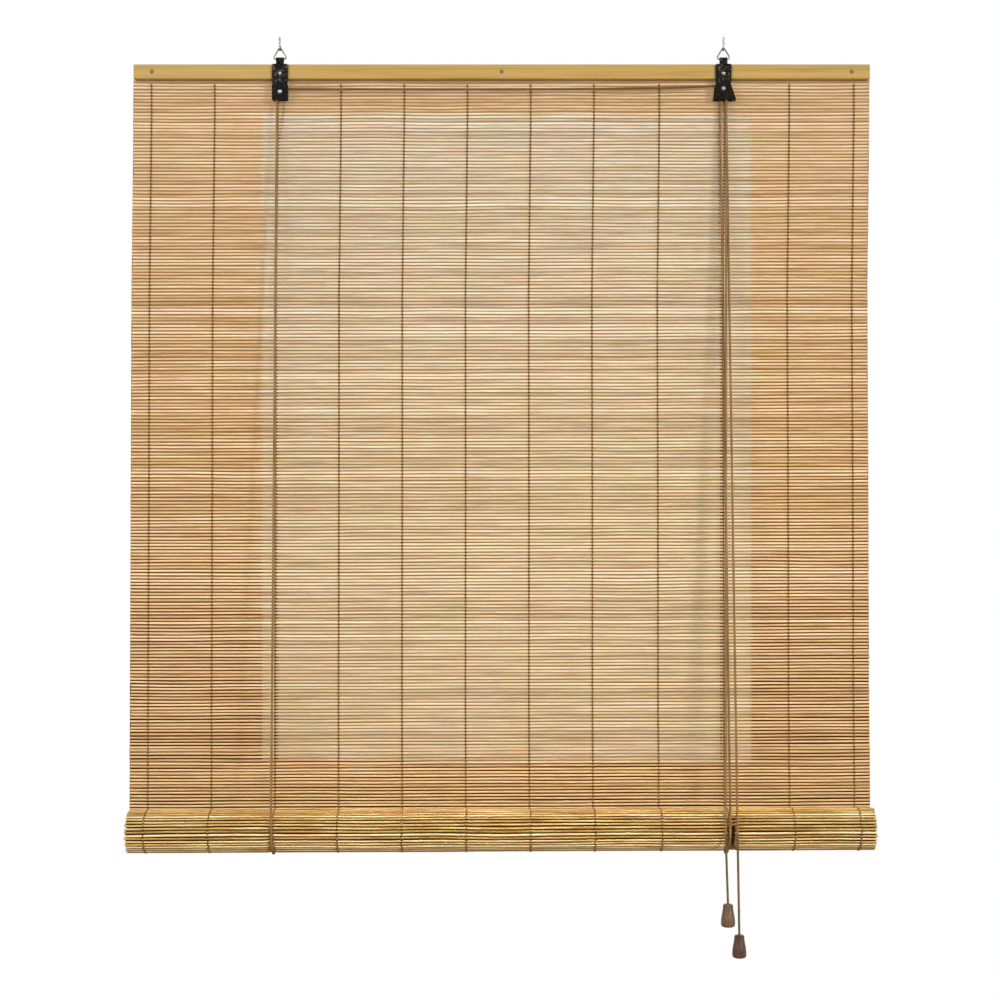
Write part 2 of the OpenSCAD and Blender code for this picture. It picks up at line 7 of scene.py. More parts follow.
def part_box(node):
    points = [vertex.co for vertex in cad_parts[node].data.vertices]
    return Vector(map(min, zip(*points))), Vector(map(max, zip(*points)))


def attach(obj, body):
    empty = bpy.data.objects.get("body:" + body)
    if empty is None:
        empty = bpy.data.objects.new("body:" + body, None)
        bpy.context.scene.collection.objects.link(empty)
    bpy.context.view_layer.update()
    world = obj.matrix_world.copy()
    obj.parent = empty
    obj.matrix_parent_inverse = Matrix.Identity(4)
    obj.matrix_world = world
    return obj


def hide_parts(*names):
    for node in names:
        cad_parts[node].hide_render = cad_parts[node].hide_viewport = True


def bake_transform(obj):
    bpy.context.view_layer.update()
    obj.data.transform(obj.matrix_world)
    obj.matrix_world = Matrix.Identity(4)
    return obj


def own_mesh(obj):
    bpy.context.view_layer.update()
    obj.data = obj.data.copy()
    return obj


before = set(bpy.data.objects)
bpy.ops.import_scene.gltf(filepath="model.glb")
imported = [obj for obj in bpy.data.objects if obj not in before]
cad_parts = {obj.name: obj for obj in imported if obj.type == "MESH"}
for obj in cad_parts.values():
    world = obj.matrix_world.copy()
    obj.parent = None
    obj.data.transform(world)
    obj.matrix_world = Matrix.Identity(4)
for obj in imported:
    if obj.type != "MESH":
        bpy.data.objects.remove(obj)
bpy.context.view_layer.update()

# View: the blind hangs square to the eye, about 2.3 m away. The camera stands level with
# its middle, a touch to the left.
def middle(node_name):
    """Centre of a CAD node's box."""
    low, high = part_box(node_name)
    return [(a + b) / 2 for a, b in zip(low, high)]


view_gap = 2.274
view_width = 1.2276
view_x = -0.0021
view_z = -0.5559

camera = bpy.data.objects.new("camera", bpy.data.cameras.new("camera"))
bpy.context.collection.objects.link(camera)
camera.data.sensor_width = 36
camera.data.lens = camera.data.sensor_width * view_gap / view_width
camera.matrix_world = (
    Matrix.Translation((view_x, middle("mat")[1] - view_gap, view_z))
    @ Matrix.Rotation(math.radians(90), 4, "X")
)
bpy.context.scene.camera = camera
bpy.context.scene.view_settings.view_transform = "Standard"

# Pull cords: two lengths of olive brown cord, laid up from three strands. They come down
# from the right pulley, lie on the front of the roll and hang on to a wooden tassel each.
cord_d = 0.0026
cord_sides = 9
cord_step = 0.0011
cord_lay = 0.0085
strand_count = 3
strand_depth = 0.2
strand_crest = 1.14
wall_share = 0.8
end_mark = 0.9
sharp_angle = math.radians(55)
side_x = np.array([1.0, 0.0, 0.0])
side_y = np.array([0.0, 1.0, 0.0])


def linear(code):
    """Linear colour, with alpha, of a hex code."""
    parts = [int(code[i:i + 2], 16) / 255 for i in (1, 3, 5)]
    return [c / 12.92 if c <= 0.04045 else ((c + 0.055) / 1.055) ** 2.4 for c in parts] + [1]


def add(tree, kind, inputs, **settings):
    """A new shader node with its settings, and its inputs set or linked."""
    made = tree.nodes.new("ShaderNode" + kind)
    for key, value in settings.items():
        setattr(made, key, value)
    for key, value in inputs.items():
        if isinstance(value, bpy.types.NodeSocket):
            tree.links.new(value, made.inputs[key])
        else:
            made.inputs[key].default_value = value
    return made


def maths(tree, operation, *values):
    """Result of a sum on sockets and numbers."""
    return add(tree, "Math", dict(enumerate(values)), operation=operation).outputs[0]


def noise(tree, vector, scale, detail=3.0):
    """Noise from 0 to 1 at a place."""
    inputs = {"Vector": vector, "Scale": scale, "Detail": detail}
    return add(tree, "TexNoise", inputs).outputs["Fac"]


def stretched(tree, vector, scales):
    """A place with each of its axes scaled."""
    return add(tree, "VectorMath", {0: vector, 1: scales}, operation="MULTIPLY").outputs[0]


def shades(tree, factor, stops):
    """Colour between hex codes, each at its own place from 0 to 1."""
    ramp = add(tree, "ValToRGB", {"Fac": factor})
    colours = ramp.color_ramp.elements
    while len(colours) < len(stops):
        colours.new(0.5)
    for element, (place, code) in zip(colours, stops):
        element.position = place
        element.color = linear(code)
    return ramp.outputs["Color"]


def new_finish(name, roughness, metallic=0.0, specular=0.5):
    """A material, its node tree and its main shader."""
    material = bpy.data.materials.new(name)
    material.use_nodes = True
    shader = material.node_tree.nodes["Principled BSDF"]
    shader.inputs["Roughness"].default_value = roughness
    shader.inputs["Metallic"].default_value = metallic
    shader.inputs["Specular IOR Level"].default_value = specular
    return material, material.node_tree, shader


def colour_and_relief(tree, shader, colour, height, depth):
    """Links a colour and a relief of some depth in metres to the shader."""
    relief = add(tree, "Bump", {"Height": height, "Distance": depth, "Strength": 1.0})
    tree.links.new(colour, shader.inputs["Base Color"])
    tree.links.new(relief.outputs["Normal"], shader.inputs["Normal"])


def lofted(name, bars):
    """One mesh of closed bars, each a stack of rings with the length along it at each ring.
    The map holds that length, and the bar's number plus four fifths of the way round it."""
    points, walls, ends, wall_map, end_map, base = [], [], [], [], [], 0
    for number, (rings, along) in enumerate(bars):
        count, sides = rings.shape[:2]
        i, k = np.meshgrid(np.arange(count - 1), np.arange(sides), indexing="ij")
        here = base + i * sides
        after = (k + 1) % sides
        walls.append(np.stack([here + k, here + after, here + sides + after, here + sides + k], -1))
        v0, v1 = number + wall_share * k / sides, number + wall_share * (k + 1) / sides
        corners = [along[i], v0, along[i], v1, along[i + 1], v1, along[i + 1], v0]
        wall_map.append(np.stack(corners, -1).reshape(-1))
        last = base + (count - 1) * sides
        ends.append(list(range(base + sides - 1, base - 1, -1)))
        ends.append(list(range(last, last + sides)))
        end_map += [along[0], number + end_mark] * sides + [along[-1], number + end_mark] * sides
        points.append(rings.reshape(-1, 3))
        base += count * sides
    walls = np.concatenate([w.reshape(-1, 4) for w in walls])
    mesh = bpy.data.meshes.new(name)
    mesh.from_pydata(np.concatenate(points).tolist(), [], walls.tolist() + ends)
    layer = mesh.uv_layers.new(name="length_map")
    layer.data.foreach_set("uv", np.concatenate(wall_map + [end_map]).astype(np.float32))
    mesh.shade_smooth()
    mesh.set_sharp_from_angle(angle=sharp_angle)
    piece = bpy.data.objects.new(name, mesh)
    bpy.context.collection.objects.link(piece)
    return piece


def stepped(points, step):
    """Points at even steps along a route, and the length from its start to each."""
    points = np.array(points, float)
    lengths = np.concatenate([[0], np.cumsum(np.linalg.norm(np.diff(points, axis=0), axis=1))])
    at = np.linspace(0, lengths[-1], max(2, round(lengths[-1] / step) + 1))
    return np.stack([np.interp(at, lengths, points[:, i]) for i in range(3)], -1), at


def length_map(tree):
    """Length along a bar and the number round it, as a place."""
    return add(tree, "UVMap", {}, uv_map="length_map").outputs["UV"]


def cord_finish(name, stops):
    """Yarn with fibres along it, worn in places."""
    material, tree, shader = new_finish(name, 0.8, specular=0.25)
    yarn = noise(tree, stretched(tree, length_map(tree), (900, 26, 0)), 1.0, 2.0)
    worn = noise(tree, stretched(tree, length_map(tree), (24, 0, 0)), 1.0)
    tone = maths(tree, "MULTIPLY_ADD", worn, 0.45, maths(tree, "MULTIPLY", yarn, 0.6))
    colour_and_relief(tree, shader, shades(tree, tone, stops), yarn, 0.0002)
    return material


faded_cord = cord_finish("cord", [(0.25, "#4f3a23"), (0.52, "#856a47"), (0.8, "#a88d68")])
handled_cord = cord_finish("handled_cord", [(0.25, "#3a2d1e"), (0.52, "#64553e"), (0.8, "#81735c")])


def cord_piece(name, points, side, finish=faded_cord):
    """Three-strand cord along a route. side is square to the route all along it."""
    route, along = stepped(points, cord_step)
    way = np.gradient(route, axis=0)
    way /= np.linalg.norm(way, axis=1)[:, None]
    up = np.cross(way, side)
    turn = 2 * np.pi * np.arange(cord_sides) / cord_sides
    strand = np.abs(np.cos(strand_count / 2 * (turn[None, :] - 2 * np.pi * along[:, None] / cord_lay)))
    radius = (cord_d / 2 * (strand_crest - strand_depth * (1 - strand)))[..., None]
    round_x = np.cos(turn)[None, :, None] * side
    round_y = np.sin(turn)[None, :, None] * up[:, None, :]
    piece = lofted(name, [(route[:, None, :] + radius * (round_x + round_y), along)])
    piece.data.materials.append(finish)
    return piece


def flattens(piece):
    """The piece hangs from the head, with a mesh of its own."""
    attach(piece, "head")
    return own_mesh(piece)


roll_y, roll_z = middle("bottom_rod")[1:]
pulley_z = middle("right_pulley")[2]
tassel_bore_end = 0.021
groove_y = {"left": 0.0041, "right": 0.0073}
pull_y = -0.043
pulls = {
    "left": [(0.2748, groove_y["left"], -0.053), (0.2681, pull_y, -0.956), (0.271, pull_y, -1.040)],
    "right": [(0.2748, groove_y["right"], -0.053), (0.2825, pull_y, -0.956), (0.2845, pull_y, -1.077)],
}
for hand, (leaves, touches, tassel_top) in pulls.items():
    inside = (tassel_top[0], tassel_top[1], tassel_top[2] - tassel_bore_end)
    top = cord_piece(hand + "_pull_upper", [leaves, touches], side_x)
    end = cord_piece(hand + "_pull_lower", [touches, tassel_top, inside], side_x, handled_cord)
    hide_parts(hand + "_pull_top")
    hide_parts(hand + "_pull_end")
    flattens(top)
    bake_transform(end)

# Hooks: two screw hooks bent from bright steel wire. Their pointed shanks carry a rolled
# screw thread and are turned into the ceiling, and the bends hold the rings.
def dress(material, *node_names):
    """Gives CAD nodes a finish."""
    for name in node_names:
        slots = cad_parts[name].data.materials
        slots.clear()
        slots.append(material)


def place_of(tree):
    """Place on a rigid piece, in metres."""
    return add(tree, "TexCoord", {}).outputs["Object"]


def steel(name, stops):
    """Steel with drawing marks along it and a patchy polish."""
    material, tree, shader = new_finish(name, 0.28, metallic=1.0)
    drawn = noise(tree, stretched(tree, place_of(tree), (2600, 2600, 300)), 1.0, 2.0)
    dull = noise(tree, place_of(tree), 420.0)
    tree.links.new(maths(tree, "MULTIPLY_ADD", dull, 0.3, 0.14), shader.inputs["Roughness"])
    colour_and_relief(tree, shader, shades(tree, dull, stops), drawn, 0.00004)
    return material


wire_steel = steel("wire_steel", [(0.3, "#4e4e4d"), (0.55, "#7d7d7b"), (0.8, "#a9a9a6")])
dress(wire_steel, "left_hook", "right_hook")

screw_pitch = 0.0011
screw_foot = 0.0006
screw_top = 0.0078
screw_steps = 14
ridge_corners = [(-0.0002, 0.0003), (-0.0002, -0.0003), (0.00025, -0.00006), (0.00025, 0.00006)]
for hand in ("left", "right"):
    hook_low, hook_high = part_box(hand + "_hook")
    hook_x = (hook_low[0] + hook_high[0]) / 2
    shank_r = (hook_high[0] - hook_low[0]) / 2
    turns = (screw_top - screw_foot) / screw_pitch
    angle = np.linspace(0, 2 * np.pi * turns, int(turns * screw_steps))
    out = np.stack([np.cos(angle), np.sin(angle), 0 * angle], -1)
    rise = np.array([0, 0, 1.0])
    axis = np.array([hook_x, 0, 0]) + np.outer(screw_foot + angle / (2 * np.pi) * screw_pitch, rise)
    rings = np.stack([axis + out * (shank_r + r) + rise * z for r, z in ridge_corners], 1)
    screw = lofted(hand + "_screw_thread", [(rings, angle * shank_r)])
    screw.data.materials.append(wire_steel)
    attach(screw, "hooks")

# Rings: a triangle of bent steel wire on each hook, closed through the fold of its tab.
# Only the wire's own polish shows, with the drawing marks along it.
dress(wire_steel, "left_ring", "right_ring")

# Tabs: strips of black leatherette, folded over the ring's straight side and lying double
# on the rail. One domed steel nail goes through each, and the tongue below holds the block.
leatherette, tree, shader = new_finish("leatherette", 0.5, specular=0.06)
grain = add(tree, "TexVoronoi", {"Vector": place_of(tree), "Scale": 1150.0, "Randomness": 1.0})
grain = grain.outputs["Distance"]
scuff_and_glint = noise(tree, place_of(tree), 260.0, 4.0)
tone = maths(tree, "MULTIPLY_ADD", grain, 0.35, maths(tree, "MULTIPLY", scuff_and_glint, 0.65))
tree.links.new(maths(tree, "MULTIPLY_ADD", scuff_and_glint, 0.4, 0.28), shader.inputs["Roughness"])
# The palest stop is scuffs and painted glints, as pale specks on the grain.
leather_stops = [(0.3, "#080605"), (0.57, "#120e0c"), (0.73, "#857a6c")]
colour_and_relief(tree, shader, shades(tree, tone, leather_stops), grain, 0.00035)
dress(leatherette, "left_tab", "right_tab")

neck_half = 0.0047
crease_r = 0.00045
crease_drops = (0.0022, 0.0042, 0.0057)
crease_wave = 0.0002
crease_waves = 900
crease_stations = 7
crease_sides = 8
for hand in ("left", "right"):
    tab_x, tab_y = middle(hand + "_tab")[0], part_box(hand + "_tab")[0][1]
    ring_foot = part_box(hand + "_ring")[0][2]
    half = neck_half * np.linspace(-1, 1, crease_stations)
    turn = 2 * np.pi * np.arange(crease_sides) / crease_sides
    creases = []
    for drop in crease_drops:
        height = ring_foot - drop + crease_wave * np.cos(half * crease_waves)
        line = np.stack([tab_x + half, np.full(crease_stations, tab_y), height], -1)
        section = np.stack([0 * turn, crease_r * np.cos(turn), crease_r * np.sin(turn)], -1)
        creases.append((line[:, None, :] + section[None, :, :], half))
    folds = lofted(hand + "_neck_creases", creases)
    folds.data.materials.append(leatherette)
    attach(folds, "head")

nail_steel = steel("nail_steel", [(0.3, "#5f5f60"), (0.55, "#939392"), (0.8, "#c9c9c7")])
dress(nail_steel, "tab_nails")

# Head rail: a planed bamboo lath with eased edges and a clear matt finish, straw yellow
# with long grain. Three small nails go through it, the top of the mat and the rear lath.
rail_finish, tree, shader = new_finish("rail_bamboo", 0.48, specular=0.35)
fibre = noise(tree, stretched(tree, place_of(tree), (14, 900, 900)), 1.0, 4.0)
band = noise(tree, stretched(tree, place_of(tree), (5, 120, 170)), 1.0, 2.0)
tone = maths(tree, "MULTIPLY_ADD", fibre, 0.45, maths(tree, "MULTIPLY", band, 0.55))
rail_stops = [(0.3, "#94783a"), (0.45, "#ac8e4d"), (0.6, "#b59855"), (0.75, "#bfa466")]
colour_and_relief(tree, shader, shades(tree, tone, rail_stops), fibre, 0.00012)
dress(rail_finish, "head_rail", "rear_lath")

old_nail, tree, shader = new_finish("old_nail", 0.45, metallic=0.35)
rust = noise(tree, place_of(tree), 900.0, 3.0)
rust_stops = [(0.3, "#3d2f1c"), (0.55, "#6d5a37"), (0.8, "#93804f")]
colour_and_relief(tree, shader, shades(tree, rust, rust_stops), rust, 0.0001)
dress(old_nail, "rail_nails")

# Mat: split bamboo slats, each a little different in height, tone and length, and slightly
# bowed. They are woven into a mat that hangs from the rail and drifts left as it comes down.
slat_pitch = 0.004
slat_h = 0.00265
slat_t = 0.0022
front_glow = 0.25
rear_glow = 0.8
slat_corners = 8
stations = 36
knots = 13
bow = 0.0003
bow_lean = 0.3
top_bow_depth = 0.03
wave_margin = 0.02
ragged_most = 0.001
lift_spread = 0.0001
rear_at = 0.35
rear_half = 0.15
edge_off = 0.2
edge_half = 0.05
# Slats at the mat's foot over which its painted shade fades out.
foot_shade_slats = 60
sag_left = 0.0042
drop_shares = (0.05, 0.29, 0.56, 0.83, 0.95)
left_wander = (0.0002, -0.0023, -0.0031, -0.0041, -0.0044)
right_wander = (-0.0010, -0.0036, -0.0022, -0.0015, -0.0002)
random = np.random.default_rng(11)
mat_low, mat_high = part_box("mat")
mat_y = middle("mat")[1]
rail_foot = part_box("head_rail")[0][2]
slat_count = int((mat_high[2] - roll_z) / slat_pitch)


def slat_finish(name, stops, end_code, front, rear, outer, foot_shade_count, dent=(0, 0, 0, 0)):
    """Split bamboo: a tone and a tint for each slat, streaks and fibres along it, painted shade on the
    edges that face the gaps.
    Shares of the light pass through its front and its rear. Slats past the outer ones carry painted
    shade, and so does a dent: its place along the slats, half its width, its middle slat, half its slats.
    The first slats carry a warm painted shade that fades over a number of them."""
    material, tree, shader = new_finish(name, 0.55, specular=0.3)
    place = add(tree, "SeparateXYZ", {"Vector": length_map(tree)})
    number = maths(tree, "FLOOR", place.outputs["Y"])
    own = add(tree, "TexWhiteNoise", {"W": number}, noise_dimensions="1D").outputs["Value"]
    long_x = maths(tree, "MULTIPLY", place.outputs["X"], 9)
    apart = maths(tree, "MULTIPLY", number, 5.3)
    streak = noise(tree, add(tree, "CombineXYZ", {"X": long_x, "Y": apart}).outputs[0], 1.7)
    patch = noise(tree, add(tree, "CombineXYZ", {"X": long_x, "Y": apart, "Z": 7.0}).outputs[0], 1.1, 2.0)
    fibre = noise(tree, stretched(tree, length_map(tree), (45, 19, 0)), 1.0)
    tone = maths(tree, "MULTIPLY", own, 0.3)
    for share, factor in ((0.62, streak), (0.28, fibre)):
        tone = maths(tree, "MULTIPLY_ADD", factor, share, tone)
    tint = shades(tree, patch, [(0.32, "#fff6ee"), (0.5, "#ffffff"), (0.68, "#f5ffe4")])
    mixed = {0: 1.0, 6: shades(tree, tone, stops), 7: tint}
    mixed = add(tree, "Mix", mixed, data_type="RGBA", blend_type="MULTIPLY").outputs[2]
    round_it = maths(tree, "FRACT", place.outputs["Y"])
    from_rear = maths(tree, "ABSOLUTE", maths(tree, "SUBTRACT", round_it, rear_at))
    # Painted shade on the top and bottom faces of each slat, towards the gaps.
    edge_shade = maths(tree, "COMPARE", from_rear, edge_off, edge_half)
    # Painted shade on the wound slats inside the outer turn.
    inner_shade = maths(tree, "GREATER_THAN", number, outer)
    # Painted shade in the groove that the right cord loop draws into the roll.
    dent_shade = maths(tree, "COMPARE", place.outputs["X"], dent[0], dent[1])
    dent_shade = maths(tree, "MULTIPLY", dent_shade, maths(tree, "COMPARE", number, dent[2], dent[3]))
    # Painted shade on the first slats, fading over a number of them.
    low = maths(tree, "MAXIMUM", maths(tree, "MULTIPLY_ADD", number, -1 / foot_shade_count, 1), 0)
    painted_shades = ((edge_shade, "#e0bf95"), (inner_shade, "#a07c4c"), (dent_shade, "#5c3c2a"), (low, "#eee2bc"))
    for where, code in painted_shades:
        darker = {0: where, 6: mixed, 7: linear(code)}
        mixed = add(tree, "Mix", darker, data_type="RGBA", blend_type="MULTIPLY").outputs[2]
    at_end = maths(tree, "GREATER_THAN", round_it, (wall_share + end_mark) / 2)
    colour = {0: at_end, 6: mixed, 7: linear(end_code)}
    colour_and_relief(tree, shader, add(tree, "Mix", colour, data_type="RGBA").outputs[2], fibre, 0.00012)
    behind = maths(tree, "LESS_THAN", from_rear, rear_half)
    passes = maths(tree, "MULTIPLY_ADD", behind, rear - front, front)
    through = add(tree, "BsdfTranslucent", {"Color": linear("#fff6e8")})
    both = add(tree, "MixShader", {0: passes, 1: shader.outputs[0], 2: through.outputs[0]})
    tree.links.new(both.outputs[0], tree.nodes["Material Output"].inputs["Surface"])
    return material


mat_bamboo = slat_finish(
    "slat_bamboo",
    [(0.36, "#b48a5b"), (0.5, "#d1ad80"), (0.62, "#e2c5a2"), (0.74, "#eed6ba"), (0.9, "#faecdc")],
    "#8f6b43", front=front_glow, rear=rear_glow, outer=slat_count, foot_shade_count=foot_shade_slats,
)


def slat_outline(height, thickness):
    """Section of a slat with soft corners: across its thickness, and up it."""
    turn = 2 * np.pi * (np.arange(slat_corners) + 0.5) / slat_corners
    return thickness / 2 * np.cos(turn), height / 2 * np.sin(turn)


def slat_bar(x, across, up, facing, height, thickness):
    """One slat: x and its middle line at each station, and the way that its front faces."""
    facing = np.array([0, *facing])
    rise = np.cross(side_x, facing)
    half_t, half_h = slat_outline(height, thickness)
    line = np.outer(x, side_x) + across[:, None] * facing + up[:, None] * rise
    section = half_t[:, None] * facing + half_h[:, None] * rise
    return line[:, None, :] + section[None, :, :], x


def smooth_along(values, x, low, high):
    """Soft curve through values spaced evenly from low to high."""
    at = (np.array(x) - low) / (high - low) * (len(values) - 1)
    first = np.clip(np.floor(at).astype(int), 0, len(values) - 2)
    share = np.clip(at - first, 0, 1)
    share = share * share * (3 - 2 * share)
    return values[first] * (1 - share) + values[first + 1] * share


def next_wave(wave):
    """The bow of the next slat, which keeps much of the last one's."""
    return 0.8 * wave + 0.6 * random.normal(size=knots)


def varied(size, spread, least, most):
    """A size that differs from slat to slat, within limits."""
    return size * np.clip(1 + spread * random.normal(), least, most)


def mat_sides(depth):
    """Left and right side of the mat at a share of its drop."""
    wander = [np.interp(depth, drop_shares, shifts) for shifts in (left_wander, right_wander)]
    return mat_low[0] + wander[0], mat_high[0] + wander[1]


wave = np.zeros(knots)
ragged = np.zeros(2)
to_front = np.array([-1.0, 0.0])
hung, clamped = [], []
for i in range(slat_count):
    z = roll_z + (i + 0.5) * slat_pitch
    wave = next_wave(wave)
    ragged = 0.6 * ragged + 0.0004 * random.normal(size=2)
    height = varied(slat_h, 0.06, 0.85, 1.12)
    thickness = varied(slat_t, 0.05, 0.9, 1.08)
    lift = lift_spread * random.normal()
    behind_rail = z + slat_pitch / 2 > rail_foot
    depth = np.clip((rail_foot - z) / (rail_foot - roll_z), 0, 1)
    ends = np.array(mat_sides(depth)) + np.clip(ragged, -ragged_most, ragged_most)
    x = np.linspace(*((mat_low[0], mat_high[0]) if behind_rail else ends), stations + 1)
    swing = 0 if behind_rail else bow * (1 + math.exp(-depth / top_bow_depth))
    bowed = swing * smooth_along(wave, x, mat_low[0] - wave_margin, mat_high[0] + wave_margin)
    hangs = z + lift + bowed + sag_left * depth * x
    bar = slat_bar(x, -mat_y + bow_lean * bowed, -hangs, to_front, height, thickness)
    (clamped if behind_rail else hung).append(bar)
hung_slats = lofted("hung_slats", hung)
clamped_slats = lofted("clamped_slats", clamped)
for piece in (hung_slats, clamped_slats):
    piece.data.materials.append(mat_bamboo)
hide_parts("mat")
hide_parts("mat")
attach(clamped_slats, "head")
flattens(hung_slats)

# Warp threads: twelve lines of brown twisted thread bind the slats. One strand of each runs
# in front and one behind, and they cross between every two slats.
thread_half_w = 0.001
thread_half_t = 0.0003
thread_cross = 0.0004
thread_inset = 0.0002
thread_reach = slat_t / 2 + thread_half_t - thread_inset
thread_sides = 6
warp_shares = np.cumsum([0.0245] + [0.0859] * 7 + [0.0889] * 2 + [0.0877] * 2)

thread_finish, tree, shader = new_finish("thread", 0.85, specular=0.2)
twist = noise(tree, stretched(tree, length_map(tree), (6.4, 9, 0)), 1.0, 2.0)
step = maths(tree, "FRACT", add(tree, "SeparateXYZ", {"Vector": length_map(tree)}).outputs["X"])
# Painted shade: the thread darkens where it crosses between two slats.
gap_shade = maths(tree, "ABSOLUTE", maths(tree, "SUBTRACT", step, 0.5))
tone = maths(tree, "MULTIPLY_ADD", twist, 0.5, maths(tree, "MULTIPLY", gap_shade, -1.3))
thread_stops = [(0.0, "#402a14"), (0.12, "#6e5030"), (0.25, "#99794f"), (0.4, "#b69368")]
thread_colour = shades(tree, maths(tree, "ADD", tone, 0.25), thread_stops)
colour_and_relief(tree, shader, thread_colour, twist, 0.00015)


def thread_bar(route, steps):
    """Flat strand of thread on a route square to X, with the slat's number at each place."""
    route = np.array(route)
    way = np.gradient(route, axis=0)
    way[:, 0] = 0
    way /= np.linalg.norm(way, axis=1)[:, None]
    out = np.cross(way, side_x)
    turn = 2 * np.pi * np.arange(thread_sides) / thread_sides
    section = thread_half_w * np.cos(turn)[None, :, None] * side_x
    section = section + thread_half_t * np.sin(turn)[None, :, None] * out[:, None, :]
    return route[:, None, :] + section, np.array(steps)


def strand_steps(count):
    """Along a strand: slat number with its quarters, place from back to front, and side."""
    for i in range(count):
        side = 1 if i % 2 else -1
        yield i, 0.0, -side
        yield i + 0.28, 1.0, -0.4 * side
        yield i + 0.72, 1.0, 0.4 * side


for side_name, sign in (("front", -1), ("rear", 1)):
    strands = []
    for share in warp_shares:
        route, steps = [], []
        for step, out, cross in strand_steps(len(hung)):
            z = roll_z + step * slat_pitch
            depth = (rail_foot - z) / (rail_foot - roll_z)
            left, right = mat_sides(depth)
            x = left + share * (right - left)
            y = mat_y + sign * (thread_inset + out * thread_reach)
            route.append((x - sign * thread_cross * cross, y, z + sag_left * depth * x))
            steps.append(step)
        strands.append(thread_bar(route, steps))
    piece = lofted(side_name + "_warp_threads", strands)
    piece.data.materials.append(thread_finish)
    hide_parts("warp_threads")
    flattens(piece)

# Blocks: black sheet folded round a pulley under each tab, square on the left and flared on the right for
# the lock. The paint is worn at the edges, and pale specks all over it are wear and painted glints. A
# bright rivet carries the pulley.
black_sheet, tree, shader = new_finish("black_sheet", 0.4, specular=0.05)
speck_and_glint = noise(tree, place_of(tree), 1500.0, 3.0)
scratch = noise(tree, stretched(tree, place_of(tree), (300, 300, 2600)), 1.0, 2.0)
tone = maths(tree, "MULTIPLY_ADD", scratch, 0.45, maths(tree, "MULTIPLY", speck_and_glint, 0.55))
tree.links.new(maths(tree, "MULTIPLY_ADD", speck_and_glint, 0.35, 0.24), shader.inputs["Roughness"])
# The palest stop is wear and painted glints, as pale specks.
sheet_stops = [(0.35, "#050404"), (0.57, "#0c0a09"), (0.69, "#8a8177")]
colour_and_relief(tree, shader, shades(tree, tone, sheet_stops), speck_and_glint, 0.00012)
dress(black_sheet, "left_block", "right_block")
dress(nail_steel, "left_axle", "right_axle")

# Pulleys and lock roller: brown moulded wheels that turn on the rivets, and a ridged brass
# roller that lies loose in the flared block and wedges the cords.
moulded, tree, shader = new_finish("moulded_brown", 0.5)
cloudy = noise(tree, place_of(tree), 900.0, 2.0)
moulded_stops = [(0.35, "#3d2d20"), (0.7, "#553f2d")]
colour_and_relief(tree, shader, shades(tree, cloudy, moulded_stops), cloudy, 0.00003)
dress(moulded, "left_pulley", "right_pulley")

brass, tree, shader = new_finish("roller_brass", 0.35, metallic=1.0)
tarnish = noise(tree, place_of(tree), 1300.0, 3.0)
brass_stops = [(0.3, "#8a6a2e"), (0.7, "#c9a557")]
colour_and_relief(tree, shader, shades(tree, tarnish, brass_stops), tarnish, 0.00002)
dress(brass, "lock_roller")

# Roll: the lower end of the same mat, wound up six times on a rod. The outer turn is drawn
# in a little where the cord loops bear on it, and all the slats' ends show at its sides.
turn_pitch = 0.003
roll_r = mat_y - roll_y
roll_k = turn_pitch / (2 * np.pi)
rod_low, rod_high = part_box("bottom_rod")
rod_r = (rod_high[2] - rod_low[2]) / 2
rod_gap = 0.0003
loop_foot_x = (-0.2768, 0.2746)
right_waist_x = loop_foot_x[1] + 0.0017
waists = ((loop_foot_x[0], 0.003, 0.0035), (right_waist_x, 0.013, 0.0049))
# Where the roll carries painted shade in the right loop's groove.
right_dent_shade = (right_waist_x, 0.0043, 17.4, 4.6)
squeezed = 0.0024
loop_zone = 0.02
loop_stations = 17
loop_crowding = 1.5
fine_turns = 1.3
outer_count = int(2 * math.pi * roll_r / slat_pitch)
wound_t = 0.95 * slat_t
wound_glow = 0.06
roll_shift = -0.0011
roll_bow = 0.0004
roll_lean = 0.4


def drawn_share(angle):
    """Share of a waist felt at an angle from the back: none there and below, all in front."""
    return np.interp(np.degrees(angle) % 360, (84, 122, 188, 224), (0, 1, 1, 0))


def wound_angle(length):
    """Angle at which a length of mat has been wound on."""
    return (roll_r - np.sqrt(roll_r ** 2 - 2 * roll_k * length)) / roll_k


